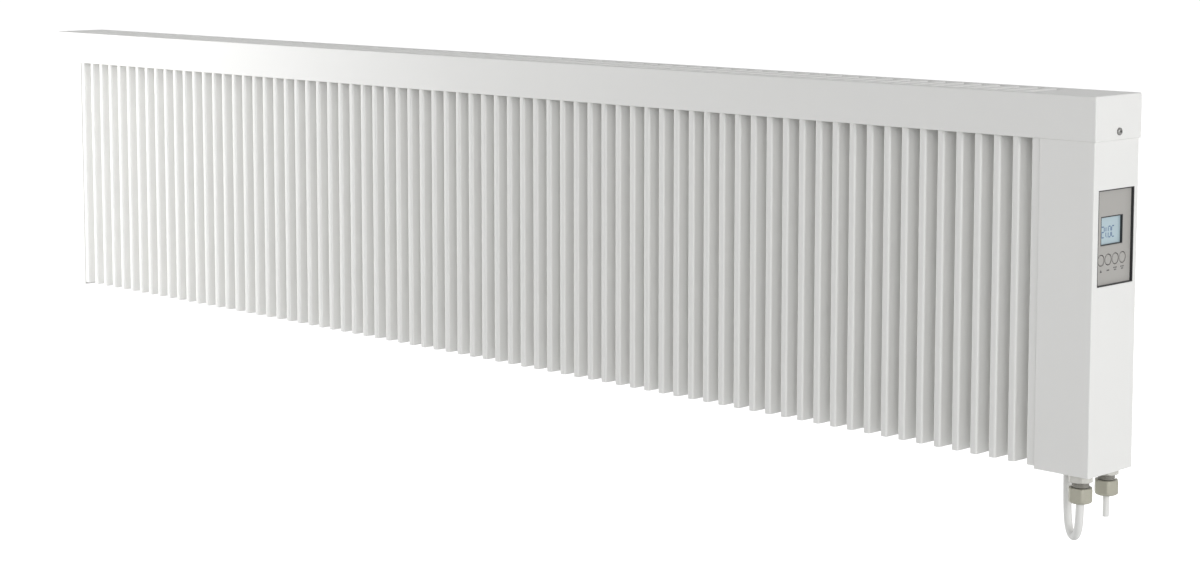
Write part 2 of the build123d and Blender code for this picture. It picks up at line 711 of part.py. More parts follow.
# Overheat cut-out: a disc thermostat on the partition above the terminals, with two tabs.
with BuildPart() as overheat_cutout:
    with BuildSketch(Plane.YZ.offset(x_terminal)):
        with Locations((y_terminal, cutout_above_origin)):
            RegularPolygon(cutout_diameter / 2, hidden_sides)
            Rectangle(1.8 * cutout_diameter, cutout_diameter / 2)
    extrude(amount=1.0)
    with BuildSketch(Plane.YZ.offset(x_terminal)):
        with Locations((y_terminal, cutout_above_origin)):
            RegularPolygon(cutout_diameter / 2, hidden_sides)
    extrude(amount=cutout_height)
    with BuildSketch(Plane.YZ.offset(x_terminal + cutout_height)):
        with Locations((y_terminal, cutout_above_origin)):
            with GridLocations(cutout_diameter / 2, 1, 2, 1):
                Rectangle(0.8, 6.3)
    extrude(amount=8.0)
save(overheat_cutout, "overheat_cutout")

# Glands: a hexagon body screwed through the base, a locknut inside, a rubber seal round the
# lead and a cap nut with a rounded lower end.
z_flange_low = z_base - gland_flange_height
z_neck_low = z_flange_low - gland_neck_height
z_nut_low = z_neck_low - gland_nut_height
gland_places = (loop_gland, mains_gland)
lead_sizes = (loop_diameter, mains_diameter)
hex_radius = gland_hex / 2 / cos(pi / 6)
with BuildPart() as gland_bodies:
    with BuildSketch(Plane.XY.offset(z_base)):
        with Locations(*gland_places):
            RegularPolygon(hex_radius, 6, rotation=gland_turn)
    extrude(amount=-gland_flange_height)
    with BuildSketch(Plane.XY.offset(z_flange_low)):
        with Locations(*gland_places):
            RegularPolygon(gland_neck_diameter / 2, turned_sides)
    extrude(amount=-gland_neck_height)
    with BuildSketch(Plane.XY.offset(z_base)):
        with Locations(*gland_places):
            RegularPolygon(gland_thread / 2, hidden_sides)
    extrude(amount=gland_thread_length)
    with BuildSketch(Plane.XY.offset(z_neck_low)):
        with Locations(*gland_places):
            RegularPolygon(gland_bore / 2, hidden_sides)
    extrude(amount=heater_height, mode=Mode.SUBTRACT)
save(gland_bodies, "gland_bodies")

with BuildPart() as gland_locknuts:
    with BuildSketch(Plane.XY.offset(z_base + casing_sheet)):
        with Locations(*gland_places):
            RegularPolygon(locknut_hex / 2 / cos(pi / 6), 6, rotation=gland_turn)
            RegularPolygon(gland_thread / 2 + hole_gap / 2, hidden_sides, mode=Mode.SUBTRACT)
    extrude(amount=locknut_height)
save(gland_locknuts, "gland_locknuts")

with BuildPart() as gland_seals:
    for place, lead in zip(gland_places, lead_sizes):
        with BuildSketch(Plane.XY.offset(z_neck_low - gland_nut_height / 3)):
            with Locations(place):
                RegularPolygon(gland_bore / 2 - hole_gap, hidden_sides)
                RegularPolygon(lead / 2 + fit_gap, hidden_sides, mode=Mode.SUBTRACT)
        extrude(amount=gland_nut_height / 3 + gland_neck_height)
save(gland_seals, "gland_seals")

# What lies outside a cylinder with a rounded foot is turned off the cap nuts.
with BuildPart() as turned_blank:
    with BuildSketch(Plane.XY.offset(z_nut_low)):
        with Locations(*gland_places):
            Circle(hex_radius)
    extrude(amount=gland_nut_height)
    chamfer(turned_blank.edges().group_by(Axis.Z)[0], length=gland_nut_round, length2=gland_nut_round / 2)
with BuildPart() as gland_nuts:
    with BuildSketch(Plane.XY.offset(z_nut_low)):
        with Locations(*gland_places):
            RegularPolygon(hex_radius, 6, rotation=gland_turn)
    extrude(amount=gland_nut_height)
    add(turned_blank.part, mode=Mode.INTERSECT)
    with BuildSketch(Plane.XY.offset(z_neck_low)):
        with Locations(*gland_places):
            RegularPolygon(gland_bore / 2, hidden_sides)
    extrude(amount=-gland_nut_height / 3, mode=Mode.SUBTRACT)
    for place, lead in zip(gland_places, lead_sizes):
        with BuildSketch(Plane.XY.offset(z_nut_low)):
            with Locations(place):
                RegularPolygon(lead / 2 + 2 * fit_gap, turned_sides)
        extrude(amount=gland_nut_height, mode=Mode.SUBTRACT)
save(gland_nuts, "gland_nuts")

# Grommet: a rubber ring in the base, where the looped lead goes back in.
with BuildPart() as lead_grommet:
    with BuildSketch(Plane.XY.offset(z_base - grommet_lip)):
        with Locations(grommet_place):
            RegularPolygon(grommet_hole / 2 - hole_gap, turned_sides)
    extrude(amount=casing_sheet + 2 * grommet_lip)
    with BuildSketch(Plane.XY.offset(z_base - grommet_lip)):
        with Locations(grommet_place):
            RegularPolygon(grommet_flange / 2, turned_sides)
    extrude(amount=grommet_lip)
    with BuildSketch(Plane.XY.offset(z_base + casing_sheet)):
        with Locations(grommet_place):
            RegularPolygon(grommet_flange / 2, turned_sides)
    extrude(amount=grommet_lip)
    with BuildSketch(Plane.XY.offset(z_base)):
        with Locations(grommet_place):
            RegularPolygon(loop_diameter / 2 + fit_gap, turned_sides)
    extrude(amount=4 * grommet_lip, both=True, mode=Mode.SUBTRACT)
save(lead_grommet, "lead_grommet")


def bend_radii(points):
    """The arc at each corner of a lead's route, as large as its two runs allow."""
    radii = []
    for before, corner, after in zip(points, points[1:], points[2:]):
        inward = Vector(*corner) - Vector(*before)
        outward = Vector(*after) - Vector(*corner)
        half_turn = radians(inward.get_angle(outward)) / 2
        radii.append(0.45 * min(inward.length, outward.length) / tan(half_turn))
    return radii


# Looped lead: leaves its gland straight down, turns back in a narrow loop and rises through
# the grommet. Each run has a length and a direction, in degrees from straight down.
loop_runs = [
    (13.0, 0.0), (14.0, 1.5), (14.0, 5.0), (14.0, 12.0), (11.5, 45.0), (10.05, 90.0),
    (11.5, 135.0), (16.0, 168.0), (17.0, 175.0), (17.0, 178.5), (16.0, 180.0),
]
loop_start_drop = 8.4  # casing's underside to the lead's upper end, inside the gland
across = Vector(grommet_place[0] - loop_gland[0], grommet_place[1] - loop_gland[1])
across = across.normalized()
loop_points = [(loop_gland[0], loop_gland[1], z_base - loop_start_drop)]
for length, direction in loop_runs:
    x, y, z = loop_points[-1]
    sideways = length * sin(radians(direction))
    loop_points.append(
        (x + across.X * sideways, y + across.Y * sideways, z - length * cos(radians(direction)))
    )
loop_radii = bend_radii(loop_points)
with BuildPart() as loop_lead:
    with BuildLine() as loop_path:
        FilletPolyline(*loop_points, radius=loop_radii)
    with BuildSketch(Plane(origin=loop_path.line @ 0, z_dir=loop_path.line % 0)) as loop_section:
        RegularPolygon(loop_diameter / 2, rod_sides)
    sweep()
save(loop_lead, "loop_lead")
loop_length = loop_path.wires()[0].length
print("looped lead radii", [round(r, 1) for r in loop_radii])
print("looped lead length", round(loop_length, 1), "ends at", [round(c, 2) for c in loop_points[-1]])
print("looped lead volume", round(loop_lead.part.volume, 1), "expected",
      round(loop_section.sketch.area * loop_length, 1))

# Mains lead: comes down from the terminals, through its gland, and ends in a plain cut.
x_lead_top = x_terminal + terminal_depth / 2
z_terminal_low = z_terminal - terminal_height / 2
mains_points = [
    (x_lead_top, mains_gland[1], z_terminal_low),
    (x_lead_top, mains_gland[1], z_terminal_low - 30.0),
    (mains_gland[0], mains_gland[1], z_terminal_low - 90.0),
    (mains_gland[0], mains_gland[1], z_base - mains_end_drop),
]
with BuildPart() as mains_lead:
    with BuildLine() as mains_path:
        FilletPolyline(*mains_points, radius=bend_radii(mains_points))
    with BuildSketch(Plane(origin=mains_path.line @ 0, z_dir=mains_path.line % 0)):
        RegularPolygon(mains_diameter / 2, rod_sides)
    sweep()
save(mains_lead, "mains_lead")
print("mains lead radii", [round(r, 1) for r in bend_radii(mains_points)])

# Lead tails: the looped lead's two ends inside the casing, one to the terminals and one to
# the thermostat.
x_housing_mid = x_housing_back + housing_depth / 2
z_housing_low = z_thermostat - thermostat_height / 2
y_tail = y_thermostat + loop_diameter
tail_routes = [
    [
        loop_points[0],
        (loop_gland[0], loop_gland[1], z_base + 50.0),
        (x_lead_top, y_terminal - pole_pitch, z_terminal_low - 32.0),
        (x_lead_top, y_terminal - pole_pitch, z_terminal_low),
    ],
    [
        loop_points[-1],
        (loop_points[-1][0], loop_points[-1][1], z_base + 35.0),
        (x_housing_mid, y_tail, z_base + 90.0),
        (x_housing_mid, y_tail, z_housing_low + rim_wall),
    ],
]
with BuildPart() as lead_tails:
    for route in tail_routes:
        with BuildLine() as tail_path:
            FilletPolyline(*route, radius=bend_radii(route))
        with BuildSketch(Plane(origin=tail_path.line @ 0, z_dir=tail_path.line % 0)):
            RegularPolygon(loop_diameter / 2, rod_sides)
        sweep(path=tail_path.line)
save(lead_tails, "lead_tails")

# Element wires: a bare nickel wire from each end of the element to the terminals.
wire_diameter = 2.5
wire_reach = 8.0
z_terminal_top = z_terminal + terminal_height / 2
wire_routes = [
    [
        (x_pin, y_element, element_heights[0]),
        (x_pin + wire_reach, y_element, element_heights[0]),
        (x_pin + wire_reach, y_element, z_terminal_low),
    ],
    [
        (x_pin, y_element, element_heights[-1]),
        (x_pin + wire_reach, y_element, element_heights[-1]),
        (x_pin + wire_reach, y_element, z_terminal_top),
    ],
]
with BuildPart() as element_wires:
    for route in wire_routes:
        with BuildLine() as wire_path:
            FilletPolyline(*route, radius=wire_reach / 2)
        with BuildSketch(Plane(origin=wire_path.line @ 0, z_dir=wire_path.line % 0)):
            RegularPolygon(wire_diameter / 2, rod_sides)
        sweep(path=wire_path.line)
save(element_wires, "element_wires")

# Wall brackets: two steel channels screwed to the wall. A hook on each flange goes through
# the rear panel, and an ear at the foot takes a screw from below.
with BuildPart() as wall_brackets:
    with BuildSketch(Plane.XY.offset(-bracket_height / 2)):
        with Locations(*[(x, 0) for x in bracket_centres]):
            Rectangle(bracket_width, wall_gap, align=(Align.CENTER, Align.MAX))
        with Locations(*[(x, -bracket_sheet) for x in bracket_centres]):
            Rectangle(
                bracket_width - 2 * bracket_sheet, wall_gap, align=(Align.CENTER, Align.MAX),
                mode=Mode.SUBTRACT,
            )
    extrude(amount=bracket_height)
    for x in hook_places:
        with BuildSketch(Plane.YZ.offset(x)):
            with Locations((y_back, hook_above_origin)):
                Rectangle(hook_reach, hook_height, align=(Align.MAX, Align.MAX))
            with Locations((y_back - hook_reach, hook_above_origin - hook_height)):
                Rectangle(bracket_sheet, hook_height + hook_tip, align=(Align.MAX, Align.MIN))
        extrude(amount=bracket_sheet / 2, both=True)
    # A tongue runs down the wall from the web and turns forward under the casing.
    with BuildSketch(Plane.XY.offset(-bracket_height / 2)):
        with Locations(*[(x, 0) for x in bracket_centres]):
            Rectangle(bracket_width / 2, bracket_sheet, align=(Align.CENTER, Align.MAX))
    extrude(amount=z_base - bracket_sheet + bracket_height / 2)
    with BuildSketch(Plane.XY.offset(z_base - bracket_sheet)):
        with Locations(*[(x, 0) for x in bracket_centres]):
            Rectangle(bracket_width / 2, ear_reach - y_back, align=(Align.CENTER, Align.MAX))
    extrude(amount=bracket_sheet)
    with BuildSketch(Plane.XY.offset(z_base - bracket_sheet)):
        with Locations(*[(x, y_bracket_screw) for x in bracket_centres]):
            Circle(screw_diameter / 2 + hole_gap)
    extrude(amount=bracket_sheet, mode=Mode.SUBTRACT)
    with BuildSketch(Plane.XZ):
        with GridLocations(bracket_spacing, wall_hole_spacing, 2, 2):
            Circle(wall_hole / 2)
    extrude(amount=bracket_sheet, mode=Mode.SUBTRACT)
save(wall_brackets, "wall_brackets")


def pan_screws(plane, places):
    """Pan-head screws whose heads sit on a plane and whose shanks run in behind it."""
    with BuildPart() as screws:
        with BuildSketch(plane):
            with Locations(*places):
                RegularPolygon(screw_head / 2, hidden_sides)
        extrude(amount=screw_head_height)
        rims = screws.edges().group_by(Axis(plane.origin, plane.z_dir))[-1]
        chamfer(rims, length=screw_head_height / 2)
        with BuildSketch(plane):
            with Locations(*places):
                RegularPolygon(screw_diameter / 2, rod_sides)
        extrude(amount=-screw_length)
        with BuildSketch(plane.offset(screw_head_height)):
            with Locations(*places):
                RegularPolygon(screw_diameter / 2 * 0.6, 6)
        extrude(amount=-screw_head_height / 2, mode=Mode.SUBTRACT)
    return screws


# Cover screws: one at each end, through the cover's band into the end cover.
screw_height = (y_mid, z_top - cover_screw_drop)
with BuildPart() as cover_screws:
    add(pan_screws(Plane.YZ.offset(cover_length / 2), [screw_height]).part)
    add(pan_screws(Plane.YZ.offset(cover_length / 2), [screw_height]).part.mirror(Plane.YZ))
save(cover_screws, "cover_screws")

# Rear screws: two at each end, through the end cover's rear flange into the partition's.
rear_x = (x_left_edge - screw_diameter, x_right_edge + screw_diameter)
rear_plane = Plane(origin=(0, y_back, 0), x_dir=(-1, 0, 0), z_dir=(0, 1, 0))
rear_places = [(-x, z) for x in rear_x for z in (-rear_screw_spacing / 2, rear_screw_spacing / 2)]
rear_screws = pan_screws(rear_plane, rear_places)
save(rear_screws, "rear_screws")

# Foot screws: hold the casing down on the brackets' ears.
foot_plane = Plane(origin=(0, 0, z_base - bracket_sheet), x_dir=(1, 0, 0), z_dir=(0, 0, -1))
foot_screws = pan_screws(foot_plane, [(x, -y_bracket_screw) for x in bracket_centres])
save(foot_screws, "foot_screws")
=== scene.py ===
import math

import bmesh
import bpy
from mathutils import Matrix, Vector


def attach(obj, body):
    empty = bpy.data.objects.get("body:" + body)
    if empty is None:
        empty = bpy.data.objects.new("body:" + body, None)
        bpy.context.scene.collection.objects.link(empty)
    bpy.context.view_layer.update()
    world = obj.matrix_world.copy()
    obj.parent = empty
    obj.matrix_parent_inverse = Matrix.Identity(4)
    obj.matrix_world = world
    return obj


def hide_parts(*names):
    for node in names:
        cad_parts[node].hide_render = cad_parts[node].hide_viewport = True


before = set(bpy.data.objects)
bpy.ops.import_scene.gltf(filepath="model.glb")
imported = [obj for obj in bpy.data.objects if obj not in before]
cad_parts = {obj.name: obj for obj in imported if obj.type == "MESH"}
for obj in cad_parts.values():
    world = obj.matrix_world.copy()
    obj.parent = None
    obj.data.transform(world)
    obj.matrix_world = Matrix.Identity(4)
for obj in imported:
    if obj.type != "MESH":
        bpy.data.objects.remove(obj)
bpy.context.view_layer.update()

# Camera: stands to the right of the heater, in front of it and a little above, looking down
# on it slightly. The rest of the photograph's rise is a small lens shift.
camera = bpy.data.objects.new("camera", bpy.data.cameras.new("camera"))
bpy.context.scene.collection.objects.link(camera)
camera_pitch, camera_yaw = 0.10371, 0.78857
camera.data.sensor_width = 36
camera.data.lens = 72.57
camera.data.shift_y = -0.10
camera.location = (2.36968, -2.20186, 0.38691)
camera.rotation_euler = (math.pi / 2 - camera_pitch, 0, camera_yaw)
bpy.context.scene.camera = camera
bpy.context.scene.view_settings.view_transform = "Standard"

# Studio: a plain white floor some way below the heater, pale air all round, and broad lamps:
# one well beyond the thermostat end, one in front on that side, two for the far end and one
# behind. Floor and air look whiter than the light that they give.
floor_drop, floor_reach = -0.62, 30.0
paper_shade, paper_roughness, paper_whiteness = 0.86, 0.9, 0.78
air_light, air_whiteness = 0.285, 1.0
floor_corners = ((-1, -1), (1, -1), (1, 1), (-1, 1))
floor_mesh = bpy.data.meshes.new("studio_floor")
floor_mesh.from_pydata(
    [(x * floor_reach, y * floor_reach, floor_drop) for x, y in floor_corners], [], [(0, 1, 2, 3)],
)
floor = bpy.data.objects.new("studio_floor", floor_mesh)
bpy.context.scene.collection.objects.link(floor)
paper = bpy.data.materials.new("studio_paper")
paper.use_nodes = True
nodes, links = paper.node_tree.nodes, paper.node_tree.links
paper_skin = nodes["Principled BSDF"]
paper_skin.inputs["Base Color"].default_value = (paper_shade, paper_shade, paper_shade, 1)
paper_skin.inputs["Roughness"].default_value = paper_roughness
seen_by = nodes.new("ShaderNodeLightPath")
any_look = nodes.new("ShaderNodeMath")
any_look.operation = "MAXIMUM"
links.new(seen_by.outputs["Is Camera Ray"], any_look.inputs[0])
links.new(seen_by.outputs["Is Glossy Ray"], any_look.inputs[1])
paper_glow = nodes.new("ShaderNodeMath")
paper_glow.operation = "MULTIPLY"
paper_glow.inputs[1].default_value = paper_whiteness
links.new(any_look.outputs[0], paper_glow.inputs[0])
paper_skin.inputs["Emission Color"].default_value = (1, 1, 1, 1)
links.new(paper_glow.outputs[0], paper_skin.inputs["Emission Strength"])
floor_mesh.materials.append(paper)

world = bpy.data.worlds.new("studio_air")
bpy.context.scene.world = world
world.use_nodes = True
nodes, links = world.node_tree.nodes, world.node_tree.links
air = nodes["Background"]
air.inputs["Color"].default_value = (1, 1, 1, 1)
seen_by = nodes.new("ShaderNodeLightPath")
any_look = nodes.new("ShaderNodeMath")
any_look.operation = "MAXIMUM"
links.new(seen_by.outputs["Is Camera Ray"], any_look.inputs[0])
links.new(seen_by.outputs["Is Transmission Ray"], any_look.inputs[1])
any_shine = nodes.new("ShaderNodeMath")
any_shine.operation = "MAXIMUM"
links.new(any_look.outputs[0], any_shine.inputs[0])
links.new(seen_by.outputs["Is Glossy Ray"], any_shine.inputs[1])
air_level = nodes.new("ShaderNodeMapRange")
air_level.inputs["To Min"].default_value = air_light
air_level.inputs["To Max"].default_value = air_whiteness
links.new(any_shine.outputs[0], air_level.inputs["Value"])
links.new(air_level.outputs["Result"], air.inputs["Strength"])

# Each lamp's name, place, aim, width, spread in degrees and power in watts.
lamps = (
    ("end_lamp", (8.5, -0.7, 2.2), (0.6, -0.05, 0.0), 2.2, 180, 224.0),
    ("front_lamp", (4.0, -3.2, 1.2), (0.8, -0.05, 0.0), 2.0, 180, 45.5),
    ("far_lamp", (-2.4, -1.3, 0.3), (-1.1, -0.1, 0.0), 0.9, 180, 35.0),
    ("fin_lamp", (0.2, -2.0, 0.4), (-1.25, -0.1, 0.0), 0.8, 55, 1.1),
    ("back_lamp", (0.0, 4.5, 0.2), (0.0, 0.0, 0.0), 2.6, 180, 100.0),
)
for lamp_name, place, aim, size, spread, power in lamps:
    lamp = bpy.data.lights.new(lamp_name, "AREA")
    lamp.size = size
    lamp.spread = math.radians(spread)
    lamp.energy = power
    stand = bpy.data.objects.new(lamp_name, lamp)
    bpy.context.scene.collection.objects.link(stand)
    stand.location = place
    stand.rotation_euler = (Vector(aim) - Vector(place)).to_track_quat("-Z", "Y").to_euler()

# Wall brackets and the casing's inner sheets: galvanised steel, cut and folded, with the
# faint spangle of the zinc. The rear panel hangs on the brackets; the partitions stand in it.


def tone(red, green, blue):
    """A colour as seen on a screen, 0 to 255, as the shader wants it."""
    return tuple(((c / 255 + 0.055) / 1.055) ** 2.4 for c in (red, green, blue)) + (1,)


def finish(name, colour, drift=0.06, patch=0.06, tooth=0.0007, depth=0.00002, rough=(0.35, 0.45),
           metal=0.0, stretch=(1, 1, 1), fleck=None, fleck_size=0.002, fleck_share=0.4):
    """A surface whose shade drifts over broad patches and whose fine tooth varies its gloss.
    Flecks, where it has them, are cells of a second colour."""
    made = bpy.data.materials.new(name)
    made.use_nodes = True
    nodes, links = made.node_tree.nodes, made.node_tree.links
    skin = nodes["Principled BSDF"]
    skin.inputs["Metallic"].default_value = metal
    where = nodes.new("ShaderNodeTexCoord")
    grain = nodes.new("ShaderNodeMapping")
    grain.inputs["Scale"].default_value = stretch
    links.new(where.outputs["Object"], grain.inputs["Vector"])
    broad = nodes.new("ShaderNodeTexNoise")
    broad.inputs["Scale"].default_value = 1 / patch
    broad.inputs["Detail"].default_value = 4
    fine = nodes.new("ShaderNodeTexNoise")
    fine.inputs["Scale"].default_value = 1 / tooth
    fine.inputs["Detail"].default_value = 3
    links.new(grain.outputs["Vector"], broad.inputs["Vector"])
    links.new(grain.outputs["Vector"], fine.inputs["Vector"])
    shade = nodes.new("ShaderNodeMix")
    shade.data_type = "RGBA"
    shade.inputs["A"].default_value = tuple(c * (1 - drift) for c in colour[:3]) + (1,)
    shade.inputs["B"].default_value = tuple(min(1, c * (1 + drift)) for c in colour[:3]) + (1,)
    links.new(broad.outputs["Fac"], shade.inputs["Factor"])
    top = shade.outputs["Result"]
    if fleck:
        cells = nodes.new("ShaderNodeTexVoronoi")
        cells.inputs["Scale"].default_value = 1 / fleck_size
        links.new(grain.outputs["Vector"], cells.inputs["Vector"])
        split = nodes.new("ShaderNodeSeparateColor")
        links.new(cells.outputs["Color"], split.inputs["Color"])
        chosen = nodes.new("ShaderNodeMapRange")
        chosen.inputs["From Min"].default_value = 1 - fleck_share
        chosen.inputs["From Max"].default_value = 1.0
        links.new(split.outputs["Red"], chosen.inputs["Value"])
        over = nodes.new("ShaderNodeMix")
        over.data_type = "RGBA"
        over.inputs["B"].default_value = fleck
        links.new(chosen.outputs["Result"], over.inputs["Factor"])
        links.new(top, over.inputs["A"])
        top = over.outputs["Result"]
    links.new(top, skin.inputs["Base Color"])
    gloss = nodes.new("ShaderNodeMapRange")
    gloss.inputs["To Min"].default_value = rough[0]
    gloss.inputs["To Max"].default_value = rough[1]
    links.new(fine.outputs["Fac"], gloss.inputs["Value"])
    links.new(gloss.outputs["Result"], skin.inputs["Roughness"])
    relief = nodes.new("ShaderNodeBump")
    relief.inputs["Strength"].default_value = 0.6
    relief.inputs["Distance"].default_value = depth
    links.new(fine.outputs["Fac"], relief.inputs["Height"])
    links.new(relief.outputs["Normal"], skin.inputs["Normal"])
    return made


def coat(material, *names):
    """Gives parts carried over from the frame their finish."""
    for name in names:
        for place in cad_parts[name].material_slots:
            place.material = material


zinc = finish("galvanised_sheet", tone(150, 153, 156), drift=0.08, tooth=0.0012, rough=(0.4, 0.56),
              metal=0.85, fleck=tone(168, 171, 174), fleck_size=0.012, fleck_share=0.9)
coat(zinc, "wall_brackets", "rear_panel", "left_partition", "right_partition", "front_liner")

# Core: six pressed fireclay slabs stand in a zinc-plated tray under a clamp, with a mineral
# board behind them. The slabs are brick-coloured, with a coarse grain.
clay = finish("fireclay", tone(158, 104, 78), drift=0.16, patch=0.03, tooth=0.0016, depth=0.0002,
              rough=(0.8, 0.95), fleck=tone(196, 158, 128), fleck_size=0.0018, fleck_share=0.25)
coat(clay, "core_slabs")
passivated = finish("zinc_plate", tone(186, 186, 180), drift=0.07, rough=(0.34, 0.5), metal=0.9,
                    stretch=(0.2, 1, 1))
coat(passivated, "core_tray", "core_clamp")
board_wool = finish("mineral_board", tone(224, 219, 205), drift=0.1, patch=0.01, tooth=0.0009,
                    depth=0.0002, rough=(0.85, 0.97), stretch=(0.15, 1, 1))
coat(board_wool, "insulation_board")

# Heating element: a steel-sheathed rod bent to and fro between the slabs, darkened by heat,
# held in pressed ceramic bushes, with bare nickel wires from its ends.
sheath = finish("element_steel", tone(96, 92, 90), drift=0.25, patch=0.02, rough=(0.4, 0.6),
                metal=0.9, fleck=tone(112, 96, 104), fleck_size=0.012, fleck_share=0.7)
coat(sheath, "heating_element")
bush_clay = finish("bush_ceramic", tone(232, 228, 216), drift=0.05, patch=0.004, tooth=0.0004,
                   rough=(0.3, 0.42), fleck=tone(206, 198, 180), fleck_size=0.0011,
                   fleck_share=0.15)
coat(bush_clay, "element_bushes", "overheat_cutout")
nickel = finish("nickel_wire", tone(190, 186, 176), drift=0.08, patch=0.01, rough=(0.25, 0.4),
                metal=1.0)
coat(nickel, "element_wires")

# Fin panel: one steel sheet folded to and fro into upright hollow fins with rounded bends,
# a wider fold at each end, open at the foot and powder-coated white like the casing. The
# first and the last fin run in behind the end covers.
enamel = finish("white_enamel", tone(241, 241, 239), drift=0.012, patch=0.25, tooth=0.0011,
                depth=0.000005, rough=(0.46, 0.56))
enamel.node_tree.nodes["Principled BSDF"].inputs["Specular IOR Level"].default_value = 0.25
fin_pitch, fin_width, fin_count, last_fin = 0.02471, 0.009, 74, 0.8987
edge_fold_width, right_fold, left_fold = 0.013, 0.9135, -0.9184
fin_face, fin_floor, fin_sheet = -0.0962, -0.0722, 0.001
fin_foot, fin_head = -0.1971, 0.175
bend_out, bend_in, bend_steps = 0.0024, 0.0014, 5
floor_bend, sharp_bend = 0.0009, 0.0001
behind_left_cover, behind_right_cover = (-0.906115, 0.01097), (0.8999, 0.0114)


def corner(x, y, turn_x, turn_y, radius, first_upright):
    """Points round one rounded corner; turn_x and turn_y say on which side its centre lies."""
    arc = []
    for i in range(bend_steps + 1):
        a = math.pi / 2 * i / bend_steps
        dx, dy = 1 - math.sin(a), 1 - math.cos(a)
        if first_upright:
            dx, dy = dy, dx
        arc.append((x + turn_x * radius * dx, y + turn_y * radius * dy))
    return arc


def folded_sheet(name, folds):
    """The sheet's section, front and back, drawn up from its foot to its head."""
    front, back = [], []
    floor_back = fin_floor + fin_sheet
    for number, (middle, width) in enumerate(folds):
        low, high = middle - width / 2, middle + width / 2
        first, last = number == 0, number == len(folds) - 1
        front += corner(low, floor_back if first else fin_floor, -1, -1,
                        sharp_bend if first else floor_bend, False)
        back += corner(low + fin_sheet, floor_back, -1, -1, sharp_bend, False)
        front += corner(low, fin_face, 1, 1, bend_out, True)
        back += corner(low + fin_sheet, fin_face + fin_sheet, 1, 1, bend_in, True)
        front += corner(high, fin_face, -1, 1, bend_out, False)
        back += corner(high - fin_sheet, fin_face + fin_sheet, -1, 1, bend_in, False)
        front += corner(high, floor_back if last else fin_floor, 1, -1,
                        sharp_bend if last else floor_bend, True)
        back += corner(high - fin_sheet, floor_back, 1, -1, sharp_bend, True)
    count = len(front)
    points = [(x, y, z) for z in (fin_foot, fin_head) for line in (front, back) for x, y in line]
    faces = []
    for i in range(count - 1):
        foot_front, foot_back = i, count + i
        head_front, head_back = 2 * count + i, 3 * count + i
        faces += [
            (foot_front, foot_front + 1, head_front + 1, head_front),
            (foot_back + 1, foot_back, head_back, head_back + 1),
            (foot_front + 1, foot_front, foot_back, foot_back + 1),
            (head_front, head_front + 1, head_back + 1, head_back),
        ]
    faces.append((0, 2 * count, 3 * count, count))
    faces.append((count - 1, 2 * count - 1, 4 * count - 1, 3 * count - 1))
    mesh = bpy.data.meshes.new(name)
    mesh.from_pydata(points, [], faces)
    return mesh


def piece(name, mesh, material, body="casing", replaced=(), crease=30):
    """Puts a new piece in the scene with its finish, its body and what it stands for."""
    work = bmesh.new()
    work.from_mesh(mesh)
    bmesh.ops.recalc_face_normals(work, faces=work.faces)
    work.to_mesh(mesh)
    work.free()
    mesh.shade_smooth()
    mesh.set_sharp_from_angle(angle=math.radians(crease))
    mesh.materials.append(material)
    made = bpy.data.objects.new(name, mesh)
    bpy.context.scene.collection.objects.link(made)
    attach(made, body)
    if replaced:
        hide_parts(*replaced)
    return made


fin_middles = sorted(last_fin - i * fin_pitch for i in range(fin_count))
folds = [(left_fold, edge_fold_width)] + [(x, fin_width) for x in fin_middles]
folds.append((right_fold, edge_fold_width))
folds[1], folds[-2] = behind_left_cover, behind_right_cover
piece("folded_fin_panel", folded_sheet("folded_fin_panel", folds), enamel,
      replaced=["fin_panel"])

# End covers: folded steel boxes that close the casing's ends, in the same white enamel. The
# right-hand one carries the thermostat and, underneath, the glands.
coat(enamel, "left_end_cover", "right_end_cover")

# Terminals: a block moulded in pale plastic with a screw in each pole, and the white PVC
# leads that run to it inside the casing.
pale_moulding = finish("terminal_plastic", tone(226, 224, 214), drift=0.04, patch=0.01,
                       tooth=0.0005, rough=(0.35, 0.5))
coat(pale_moulding, "terminal_block")
sleeve = finish("white_pvc", tone(231, 231, 229), drift=0.03, patch=0.006, tooth=0.0005,
                depth=0.00001, rough=(0.42, 0.55), stretch=(1, 1, 0.3))
coat(sleeve, "lead_tails")

# Thermostat housing, circuit board and switches: a black moulded tray behind the end cover,
# with the laminate board that carries the display, the key switches, the relay and the sensor.
black_moulding = finish("black_plastic", tone(34, 35, 37), drift=0.12, patch=0.01, tooth=0.0005,
                        rough=(0.45, 0.6))
coat(black_moulding, "thermostat_housing", "display_frame", "key_switches", "room_sensor")
laminate = finish("board_laminate", tone(46, 92, 66), drift=0.1, patch=0.008, tooth=0.0004,
                  rough=(0.3, 0.45), stretch=(1, 0.3, 1))
coat(laminate, "circuit_board")
relay_moulding = finish("relay_case", tone(34, 78, 128), drift=0.06, patch=0.006, tooth=0.0004,
                        rough=(0.3, 0.45))
coat(relay_moulding, "relay")

# Fascia: a moulded plate in warm grey, set 3 mm into the end cover, with a window for the
# display and a round hole for each key. Its edges are slightly softened by the mould.
fascia_grey = finish("grey_plastic", tone(173, 171, 167), drift=0.02, patch=0.03, tooth=0.0004,
                     depth=0.000012, rough=(0.42, 0.56))
fascia_front, fascia_thickness, fascia_edge = 0.9704, 0.002, 0.0002
fascia_middle, fascia_size = (-0.05545, 0.0511), (0.0642, 0.0991)
window_middle, window_size = (-0.05855, 0.05805), (0.0407, 0.0307)
key_row, key_hole = 0.0277, 0.0115
key_middles = [(y, key_row) for y in (-0.0775, -0.0643, -0.0511, -0.0379)]


